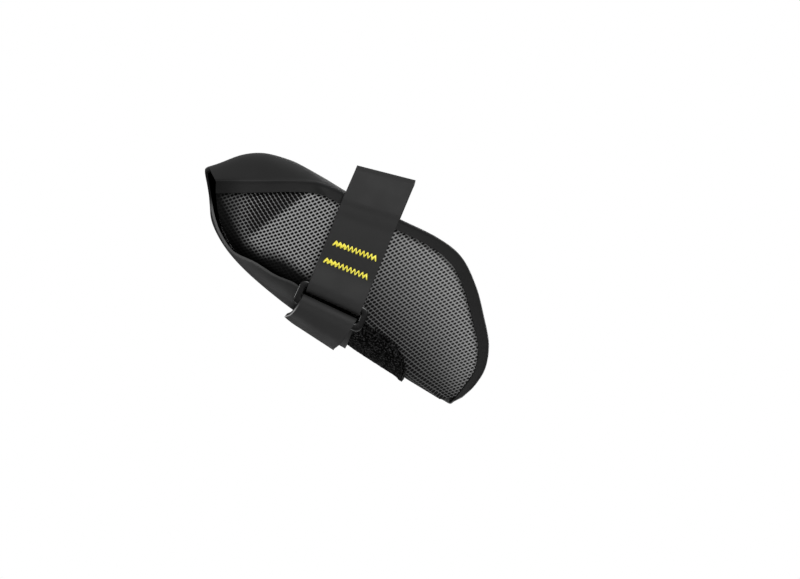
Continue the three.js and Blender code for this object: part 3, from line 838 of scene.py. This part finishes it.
def flap():
    shares = np.concatenate([[-1, -0.985], np.linspace(-0.96, 0.96, 47), [0.985, 1]])
    out = np.abs(shares)
    cup = out[None, :] ** FLAP_CUP_POWER
    column = {name: FLAP_ROWS[:, [k]] for k, name in enumerate(FLAP_COLUMNS)}
    edge_x, edge_z, half = (
        np.where(shares < 0, column["near_" + name], column["far_" + name]) for name in ("x", "z", "half")
    )
    free = vectors(
        lerp(column["centre_x"], edge_x, cup), half * shares, lerp(column["centre_z"], edge_z, cup)
    )
    rise = 2.5 * GAP + PATCH_WALL + FLAP_WALL
    held = []
    for station, reach in FLAP_END_ROWS:
        s = np.full(shares.shape, station)
        held.append(over_pouch(s, shares * Section(s).girth_at(reach), rise))
    points = smooth_path(np.concatenate([free, held]), 7)[::-1]
    height = points[..., 2]
    # pale cut edge, partly bare cloth and partly painted highlight; painted shade at the top edges
    bare_edge_and_highlight = np.interp(out, CUT_SHARES, (0.0, 1.0)) * smooth_step(*CUT_HEIGHTS, height)
    shade_and_dull = smooth_step(*SHADE_AND_DULL_SHARES, out) * smooth_step(*CUT_HEIGHTS[::-1], height)
    marks = {"cut": bare_edge_and_highlight * lerp(1.0, CUT_DIM, smooth_step(*CUT_DIMS, height)), "shade": shade_and_dull}
    return cloth("rear_flap_cloth", points, flat_places(points), FLAP_WALL, marks=marks), points


FLAP, flap_grid = flap()
settle(FLAP, "rear_flap", COATED_CLOTH)

# %% [markdown]
# ## Loop patch
# A patch of loop pile is sewn round the bottom for the strap to fasten on. Hair particles could stand for
# the loops, but they are shorter than a millimetre and matted. Its surface is a thick uneven nap, so the
# grid is fine and each crossing is pushed out by a little grain of its own.

# %% Patch
PATCH_REAR = 5.15  # stations of its ends
PATCH_FRONT = 11.8
PATCH_CORNER = 9.5
PATCH_CORNER_POWER = 2.6
PATCH_REAR_REACH = 8.2  # reach up each side
PATCH_REACH = 11.7
PATCH_CLEAR = 7.04  # station from which the patch is clear of the strap
NAP = 0.6
NAP_STATIONS = (7.0, 8.0)  # the nap is pressed flat under the strap and starts between these
NAP_ROWS = [(0.9, 0.6), (2.3, 0.4)]  # spacing and share of the fine and the coarse tufts
LIP = 0.5  # the front edge stands up a little under the bottom
LIP_ALONG = (0.92, 0.97)
LIP_ACROSS = (0.5, 0.3)


def patch_point(t, f, rise):
    """Point over the patch: t goes from its rear to its front, f from one side's edge to the other's."""
    front = lerp(PATCH_FRONT, PATCH_CORNER, np.abs(f) ** PATCH_CORNER_POWER)
    s = lerp(PATCH_REAR, front, t)
    clear = np.clip((s - PATCH_REAR) / (PATCH_CLEAR - PATCH_REAR), 0, 1)
    return over_pouch(s, f * Section(s).girth_at(lerp(PATCH_REAR_REACH, PATCH_REACH, clear)), rise)


def patch():
    t = np.linspace(0, 1, 121)[:, None]
    f = np.linspace(1, -1, 141)[None, :]
    t, f = np.broadcast_arrays(t, f)
    points = patch_point(t, f, GAP + PATCH_WALL)
    free = smooth_step(*NAP_STATIONS, lerp(PATCH_REAR, PATCH_FRONT, t))
    tufts = sum(unevenness(points, size) * share for size, share in NAP_ROWS) - 0.5
    lip = LIP * smooth_step(*LIP_ALONG, t) * smooth_step(*LIP_ACROSS, np.abs(f))
    points = points + grid_normals(points) * (NAP * tufts * free + lip)[..., None]
    return cloth("fastening_patch", points, flat_places(points), PATCH_WALL), points


PATCH, patch_grid = patch()
settle(PATCH, "loop_patch", LOOP_PILE)

# %% [markdown]
# ## Strap
# The strap's path is drawn in one section of the pack: up the near side, over the top in a loop, down the
# far side, under the bottom, up through the ring and back under the bottom, where its end is fastened
# askew. A curve with a flat bevel could follow it, but would twist where the pack narrows. So each point of
# the path becomes a straight line across the strap, from a section at its rear edge to one at its front
# edge.

# %% Strap layers
STRAP_MIDDLE = 6.0
SEWN_END = 41.0
RING_BAR = 2.5
BAR_CLEARANCE = 0.6
UPPER_BAR_DEPTH = 13.6
LOWER_BAR_DEPTH = 5.5
LOWER_BAR_ACROSS = 32.9
FLARE_FROM = 27.0  # depth below which the outer layer leaves the inner one for the ring
FLARE_RUN = 10.5
FLARE_POWER = 1.3
SEAM_FROM = 42.0  # depth above which the strap climbs over the panel's band
SEAM_RUN = 8.0
PATCH_RUN = 12.0  # height over which it comes down from the patch to the pouch

HALF_WALL = STRAP_WALL / 2
LAYER = STRAP_WALL + GAP
ON_POUCH = 2 * GAP + HALF_WALL
ON_BOTTOM = 4.5 * GAP + PATCH_WALL + FLAP_WALL + HALF_WALL
WRAP = RING_BAR / 2 + BAR_CLEARANCE + HALF_WALL
MIDDLE = Section(STRAP_MIDDLE)
UPPER_BAR_ACROSS = float(MIDDLE.half_at(np.array(UPPER_BAR_DEPTH))) + ON_POUCH + WRAP


def inner_layer(depth):
    return ON_POUCH


def flare(depth):
    """How far the outer layer stands off the pouch: over the inner layer, and wider over the ring."""
    return ON_POUCH + lerp(LAYER, 2 * WRAP, np.clip((FLARE_FROM - depth) / FLARE_RUN, 0, 1) ** FLARE_POWER)


def over_seam(depth):
    return ON_POUCH + (SPINE_LAP + 2 * GAP) * np.clip((depth - SEAM_FROM) / SEAM_RUN, 0, 1)


def near_side(depth):
    return np.maximum(flare(depth), over_seam(depth))


def far_side(depth):
    onto_patch = lerp(ON_BOTTOM, ON_POUCH, np.clip((depth - MIDDLE.round) / PATCH_RUN, 0, 1))
    return np.maximum(over_seam(depth), onto_patch)


def side_run(start, end, steps, side, rise):
    depth = np.linspace(start, end, steps + 1)
    return np.stack([depth, side * (MIDDLE.half_at(depth) + rise(depth))], axis=-1)


def bar_turn(depth, across, start, end, steps):
    a = np.radians(np.linspace(start, end, steps + 1))
    return np.stack([depth + WRAP * np.sin(a), across + WRAP * np.cos(a)], axis=-1)


def under_run(start, end, steps, rise):
    a = np.radians(np.linspace(start, end, steps + 1))
    normal = unit(np.stack([-np.cos(a) / MIDDLE.round, np.sin(a) / MIDDLE.belly], axis=-1))
    face = np.stack([MIDDLE.round * (1 - np.cos(a)), MIDDLE.belly * np.sin(a)], axis=-1)
    return face + normal * rise


print("upper bar of the ring, mm from the middle:", round(UPPER_BAR_ACROSS, 1))

# %% [markdown]
# The path is put together from runs along the sides, turns round the ring's two bars, the loop and the free
# end. A third value in each row moves the free end rearward, as it is fastened askew.

# %% Strap path
LOOP_TOP = 73.0
LOOP_FLAT = 22.0
LOOP_RADIUS = 4.0
LOOP_TURN = 66
FREE_END = 6.0
FREE_SHIFT = 4.6
FREE_TURN = 32.0
FREE_DROP = 0.6


def fixed_part():
    crest = LOOP_TOP + HALF_WALL
    turn = np.radians(np.linspace(LOOP_TURN, 0, 7))
    radius = LOOP_RADIUS + HALF_WALL
    loop = np.stack([crest - radius * (1 - np.cos(turn)), -LOOP_FLAT - radius * np.sin(turn)], axis=-1)
    flat_top = np.stack([np.full(3, crest), np.array([-0.5, 0, 0.5]) * LOOP_FLAT], axis=-1)
    seam = float(MIDDLE.length)
    return np.concatenate([
        side_run(SEWN_END, UPPER_BAR_DEPTH + 1.5, 8, -1, inner_layer),
        bar_turn(UPPER_BAR_DEPTH, -UPPER_BAR_ACROSS, 0, -180, 8),
        side_run(UPPER_BAR_DEPTH + 2, seam, 14, -1, near_side),
        loop,
        flat_top,
        loop[::-1] * [1, -1],
        side_run(seam, MIDDLE.round + 1, 14, 1, far_side),
        under_run(90, -66, 18, ON_BOTTOM),
    ])


def free_part():
    front = -LOWER_BAR_ACROSS - WRAP
    deepest = -(ON_BOTTOM + LAYER + FREE_DROP)
    bends = smooth_path([
        [LOWER_BAR_DEPTH, front],
        [LOWER_BAR_DEPTH - 3.6, front + 0.2],
        [LOWER_BAR_DEPTH - 7.2, front + 2.2],
        [deepest + 2.6, front + 6.6],
        [deepest + 0.8, front + 13.5],
        [deepest, front + 21],
        [deepest, 0],
        [deepest + 0.6, FREE_END],
    ], 6)
    return np.concatenate([bar_turn(LOWER_BAR_DEPTH, -LOWER_BAR_ACROSS, 0, 180, 8), bends[1:]])


def strap_path():
    """Middle of the strap as rows of depth, across and rearward skew."""
    fixed = fixed_part()
    free = free_part()
    skew = FREE_SHIFT * smooth_step(0.0, FREE_TURN, flat_lengths(free, 0))
    return np.concatenate([
        np.column_stack([fixed, np.zeros(len(fixed))]),
        np.column_stack([free, skew]),
    ])


print("points on the strap's path:", len(strap_path()))

# %% [markdown]
# The strap lies a little askew on the pack: its rear edge hangs lower than its front edge, and less so
# under the bottom. The rear edge of the free end curls up slightly.

# %% Strap
STRAP_REAR = (5.09, 4.93)  # stations of an edge at the bottom fold and at the seam
STRAP_FRONT = (7.04, 7.02)
STRAP_LEAN = 4.2  # how much lower the rear edge lies than the front edge on the sides
UNDER_LEAN = 3.2  # the same under the bottom, and at the free end
FREE_LEAN = 1.6
LEAN_DEPTHS = (-4.0, 9.0)
FREE_CURL = 0.5
CURL_SHARE = 0.15
# painted highlight: a thin pale line along the free end's rear edge, partly its cut edge
PALE_SHARE = 0.012
PALE_FROM = (0.2, 0.5)  # shares of the shift between which the pale edge starts to show


def strap_point(path, share):
    """Point on the strap: share 0 is its rear edge and 1 its front edge."""
    depth, across, skew = np.moveaxis(path, -1, 0)
    free = skew / FREE_SHIFT
    lean = lerp(lerp(UNDER_LEAN, FREE_LEAN, free), STRAP_LEAN, smooth_step(*LEAN_DEPTHS, depth))
    curl = FREE_CURL * smooth_step(0.6, 1.0, free) * np.maximum(0, 1 - share / CURL_SHARE)
    edges = []
    for (low, high), side in ((STRAP_REAR, -0.5), (STRAP_FRONT, 0.5)):
        c = Section(lerp(low, high, np.clip(depth / MIDDLE.length, 0, 1)))
        along = depth + lean * side + curl
        edges.append(c.point(along * c.length / MIDDLE.length, across * c.belly / MIDDLE.belly))
    rear, front = edges
    width = np.linalg.norm(front - rear, axis=-1)
    return lerp(rear, front, (share - skew / width)[..., None])


def strap():
    path = smooth_path(strap_path(), 3)
    shares = np.concatenate([[0, PALE_SHARE, 0.03], np.linspace(0.06, 0.94, 13), [0.985, 1]])
    points = strap_point(path[:, None, :], shares[None, :])
    flat = flat_places(points)[..., ::-1]
    # painted highlight on the free end's rear edge
    pale_edge_and_highlight = smooth_step(*PALE_FROM, path[:, 2] / FREE_SHIFT)[:, None] * (shares == PALE_SHARE)
    marks = {"cut": pale_edge_and_highlight}
    return cloth("webbing_strap", points, flat, STRAP_WALL, MIDDLE_FACE, edge=0.3, marks=marks), points


STRAP, strap_grid = strap()
settle(STRAP, "strap", WEBBING)

# %% [markdown]
# ## Ring
# The strap runs through a flat plastic ring. A box with a slot cut by a boolean would do, but its edges
# would have to be bevelled round both outlines. Here a closed path round the ring carries a rounded bar
# section, again as a bent grid, whose ends are merged.

# %% Ring
RING_LENGTH = 34.0
RING_HEIGHT = 11.7
RING_END = 3.0  # width of the ring beside the slot and below it
RING_FOOT = 3.3
RING_CORNER = 3.0
RING_EDGE = 0.6  # rounding of the bar's edges


def rounded_rectangle(half, bottom, top, radius, steps=8):
    """Outline of a rounded rectangle, counter-clockwise, with the same number of points for every size."""
    path = []
    for side, end, start in ((1, 1, 0), (-1, 1, 90), (-1, -1, 180), (1, -1, 270)):
        a = np.radians(np.linspace(start, start + 90, steps + 1))
        corner = np.array([side * half, top if end > 0 else bottom]) - radius * np.array([side, end])
        path.append(corner + radius * np.stack([np.cos(a), np.sin(a)], axis=-1))
    return np.concatenate([*path, path[0][:1]])


def bar_ends(depth, across):
    """Where a bar of the ring crosses the rear and the front edge of the strap."""
    return strap_point(np.array([[depth, -across, 0.0]] * 2), np.array([0.0, 1.0]))


def ring():
    upper = bar_ends(UPPER_BAR_DEPTH, UPPER_BAR_ACROSS)
    lower = bar_ends(LOWER_BAR_DEPTH, LOWER_BAR_ACROSS)
    along = unit(upper[1] - upper[0] + lower[1] - lower[0])
    outward = unit(np.cross(along, upper.sum(axis=0) - lower.sum(axis=0)))
    rise = np.cross(outward, along)
    top = RING_BAR / 2
    bottom = top - RING_HEIGHT
    half = RING_LENGTH / 2
    outer = rounded_rectangle(half, bottom, top, RING_CORNER)
    slot = rounded_rectangle(half - RING_END, bottom + RING_FOOT, top - RING_BAR, RING_CORNER / 2)
    width = np.linalg.norm(outer - slot, axis=-1, keepdims=True)
    quarter = np.radians(np.linspace(0, 90, 5))
    inset = RING_EDGE * (1 - np.sin(quarter))
    height = RING_BAR / 2 - RING_EDGE * (1 - np.cos(quarter))
    edge = list(zip([*inset, *inset[::-1]], [*-height, *height[::-1]]))
    rows = [(lerp(outer, slot, inward / width), level) for inward, level in edge]
    rows += [(lerp(slot, outer, inward / width), level) for inward, level in edge[::-1]]
    rows = [*rows, rows[0]][::-1]
    points = np.stack([
        upper.mean(axis=0) + flat[:, [0]] * along + flat[:, [1]] * rise + level * outward
        for flat, level in rows
    ], axis=1)
    return bent_grid("strap_ring_bar", points, flat_places(points))


RING = ring()
settle(RING, "strap_ring", PLASTIC)

# %% [markdown]
# ## Stitching
# Two rows of thick yellow zigzag hold the strap's layers together on the near side, with a few stitches
# sewn over each other at the ends. Drawn on the strap they would look printed, so each thread is a curve
# with a round section: it rises out of the cloth at each needle hole, lies over it and dips in again. Finer
# black thread holds the patch.

# %% Thread helper
def thread_curve(name, paths, diameter, material):
    """Round threads along paths of points in millimetres."""
    curve = bpy.data.curves.new(name, "CURVE")
    curve.dimensions = "3D"
    curve.bevel_depth = diameter / 2 * MM
    curve.bevel_resolution = 2
    curve.use_fill_caps = True
    for path in paths:
        spline = curve.splines.new("POLY")
        spline.points.add(len(path) - 1)
        for point, place in zip(spline.points, path):
            point.co = (*(place * MM), 1.0)
    piece = bpy.data.objects.new(name, curve)
    bpy.context.scene.collection.objects.link(piece)
    curve.materials.append(material)
    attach(piece, "root")
    print(f"{name}: {len(paths)} threads")


# %% Patch seam
PATCH_THREAD = 0.34
PATCH_STITCH = 2.2  # from the seam to the patch's edge
PATCH_HALF = 28.0  # half of the patch's way round the bottom
SEAM_SHARES = (0.3, 0.96)  # from where the strap covers it, to beside the front edge
SEAM_LIFT = 0.25


def patch_seam():
    inner = 1 - PATCH_STITCH / PATCH_HALF
    ahead = np.linspace(*SEAM_SHARES, 60)
    over = np.linspace(1, -1, 60)[1:-1]
    t = np.concatenate([ahead, np.full(over.shape, SEAM_SHARES[1]), ahead[::-1]])
    f = inner * np.concatenate([np.ones(ahead.shape), over, -np.ones(ahead.shape)])
    return patch_point(t, f, GAP + PATCH_WALL + SEAM_LIFT)


thread_curve("patch_stitching", [patch_seam()], PATCH_THREAD, BLACK_THREAD)

# %% Yellow zigzag
STITCH_COLUMNS = ["rear_share", "front_share", "depth"]
STITCH_ROWS = [
    [0.13, 0.905, 36.3],
    [0.09, 0.885, 27.35],
]
STITCHES = 11
STITCH_HEIGHT = 2.5
STITCH_ARC = [(0.0, -0.1), (0.12, 0.16), (0.5, 0.26), (0.88, 0.16)]  # way along a stitch, lift off the strap
THREAD = 0.58
TACK = 3  # stitches sewn over again at the rear end
TACK_HEIGHT = 0.6
TACK_SHIFT = 0.02
END_TACK_SHIFT = -0.01


def strap_face(share, depth, lift):
    """Point over the strap's outer face on the near side."""
    across = -(MIDDLE.half_at(depth) + flare(depth) + HALF_WALL + lift)
    return strap_point(vectors(depth, across, 0.0), share)


def zigzag(rear_share, front_share, depth):
    count = 2 * STITCHES
    holes = []
    for i in range(count + 1):
        side = STITCH_HEIGHT / 2 * (1 if i % 2 else -1)
        holes.append((lerp(rear_share, front_share, i / count), depth + side))

    def sewn_over(some, shift):
        return [(share + shift, lerp(depth, at, TACK_HEIGHT)) for share, at in some[::-1]]

    tack = sewn_over(holes[1 : 2 * TACK + 1], TACK_SHIFT)
    holes = tack + holes + sewn_over(holes[-3:-1], END_TACK_SHIFT)
    path = []
    for (share_a, depth_a), (share_b, depth_b) in zip(holes, holes[1:]):
        for t, lift in STITCH_ARC:
            share = np.array(lerp(share_a, share_b, t))
            path.append(strap_face(share, np.array(lerp(depth_a, depth_b, t)), lift))
    return path


zigzags = [zigzag(**dict(zip(STITCH_COLUMNS, row))) for row in STITCH_ROWS]
thread_curve("yellow_stitching", zigzags, THREAD, YELLOW_THREAD)

# %% [markdown]
# ## Camera, floor and light
# The camera looks straight at the near side from far away with a long lens, so that near and far parts show
# at almost the same scale. It looks level, so upright edges stay upright.

# %% Camera
CAMERA_DISTANCE = 2.29
CAMERA_PLACE = (0.00678, -CAMERA_DISTANCE, -0.0515)
SENSOR_WIDTH = 36.0
LENS = 225.0

camera_data = bpy.data.cameras.new("camera")
camera_data.sensor_width = SENSOR_WIDTH
camera_data.sensor_fit = "HORIZONTAL"
camera_data.lens = LENS
camera = bpy.data.objects.new("camera", camera_data)
camera.location = CAMERA_PLACE
camera.rotation_euler = (math.radians(90), 0.0, 0.0)
bpy.context.scene.collection.objects.link(camera)
bpy.context.scene.camera = camera
bpy.context.scene.view_settings.view_transform = "Standard"
print("camera at", CAMERA_PLACE)

# %% [markdown]
# The pack hangs, so the floor lies well below it and only gives back a little light.

# %% Floor
FLOOR_HEIGHT = -0.9
FLOOR_RADIUS = 1.8


def floor():
    bm = bmesh.new()
    bmesh.ops.create_circle(bm, cap_ends=True, radius=FLOOR_RADIUS, segments=96)
    bmesh.ops.translate(bm, verts=bm.verts, vec=(0.0, 0.0, FLOOR_HEIGHT))
    mesh = bpy.data.meshes.new("floor")
    bm.to_mesh(mesh)
    bm.free()
    piece = bpy.data.objects.new("floor", mesh)
    bpy.context.scene.collection.objects.link(piece)
    finish = Finish("pale_floor", Roughness=0.9)
    finish.set("Base Color", finish.place.noise(4.0).mix(grey(232), grey(238)))
    mesh.materials.append(finish.material)


floor()

# %% [markdown]
# The key light is a big soft box above the front on the near side. A smaller one fills in from the rear,
# and one on the far side keeps the back from going black. The room is white to the camera, but gives a
# dimmer light that is palest from above, so that black cloth keeps its depth.

# %% Light
LIGHT_COLUMNS = ["name", "place", "size", "power"]
LIGHTS = [
    ["key", (1.2, -2.0, 1.5), 1.4, 60.0],
    ["fill", (-2.2, -0.6, 0.9), 0.9, 30.0],
    ["back", (0.6, 2.4, 0.0), 1.4, 16.0],
]
LIGHT_AIM = Vector((0.0, 0.0, -0.05))
GROUND_GLOW = (0.03, 0.03, 0.03, 1.0)
SKY_GLOW = (0.5, 0.5, 0.5, 1.0)
WHITE = (1.0, 1.0, 1.0, 1.0)


def light(name, place, size, power):
    data = bpy.data.lights.new(name, "AREA")
    data.size = size
    data.energy = power
    lamp = bpy.data.objects.new(name, data)
    lamp.location = place
    lamp.rotation_euler = (LIGHT_AIM - Vector(place)).to_track_quat("-Z", "Y").to_euler()
    bpy.context.scene.collection.objects.link(lamp)


def room():
    """White behind the pack, and a paler sky than ground for the light that it gives."""
    world = bpy.data.worlds.new("room")
    world.use_nodes = True
    bpy.context.scene.world = world
    tree = world.node_tree
    tree.nodes.clear()
    start = Wire(tree)
    _, _, height = start.node("TexCoord", {}, {}, output="Generated").split()
    glow = height.step(-0.4, 0.8).mix(GROUND_GLOW, SKY_GLOW)
    lit = start.node("Background", {}, {"Color": glow, "Strength": 1.0})
    seen = start.node("Background", {}, {"Color": WHITE, "Strength": 1.0})
    direct = start.node("LightPath", {}, {}, output="Is Camera Ray")
    both = start.node("MixShader", {}, {0: direct, 1: lit, 2: seen})
    output = tree.nodes.new("ShaderNodeOutputWorld")
    tree.links.new(both.socket, output.inputs["Surface"])


for row in LIGHTS:
    light(**dict(zip(LIGHT_COLUMNS, row)))
room()
print("lights:", [row[0] for row in LIGHTS])

# %% [markdown]
# ## Cloth sizes
# The size and area of each cloth piece's flat cut are measured on its own grid and printed.

def flat_cut(grid):
    """Width, length and area of the flat cut of a grid, in metres."""
    edges = np.cross(grid[1:, :-1] - grid[:-1, :-1], grid[:-1, 1:] - grid[:-1, :-1])
    area = float(np.linalg.norm(edges, axis=-1).sum()) * MM * MM
    long = float(flat_lengths(grid, 0)[-1].max()) * MM
    wide = float(flat_lengths(grid, 1)[:, -1].max()) * MM
    return (wide, max(long, area / wide)), area


for piece, grid, held, rests_on in (
    (POUCH, pouch_grid, "folded", [STRAP]),
    (PANEL, panel_grid, "folded", [POUCH]),
    (FLAP, flap_grid, "folded", [PANEL]),
    (PATCH, patch_grid, "laid", [POUCH]),
    (STRAP, strap_grid, "folded", [PANEL]),
):
    flat, area = flat_cut(grid)
    print(piece.name, "cut, mm:", [round(x / MM) for x in flat], "area, mm2:", round(area / MM / MM))
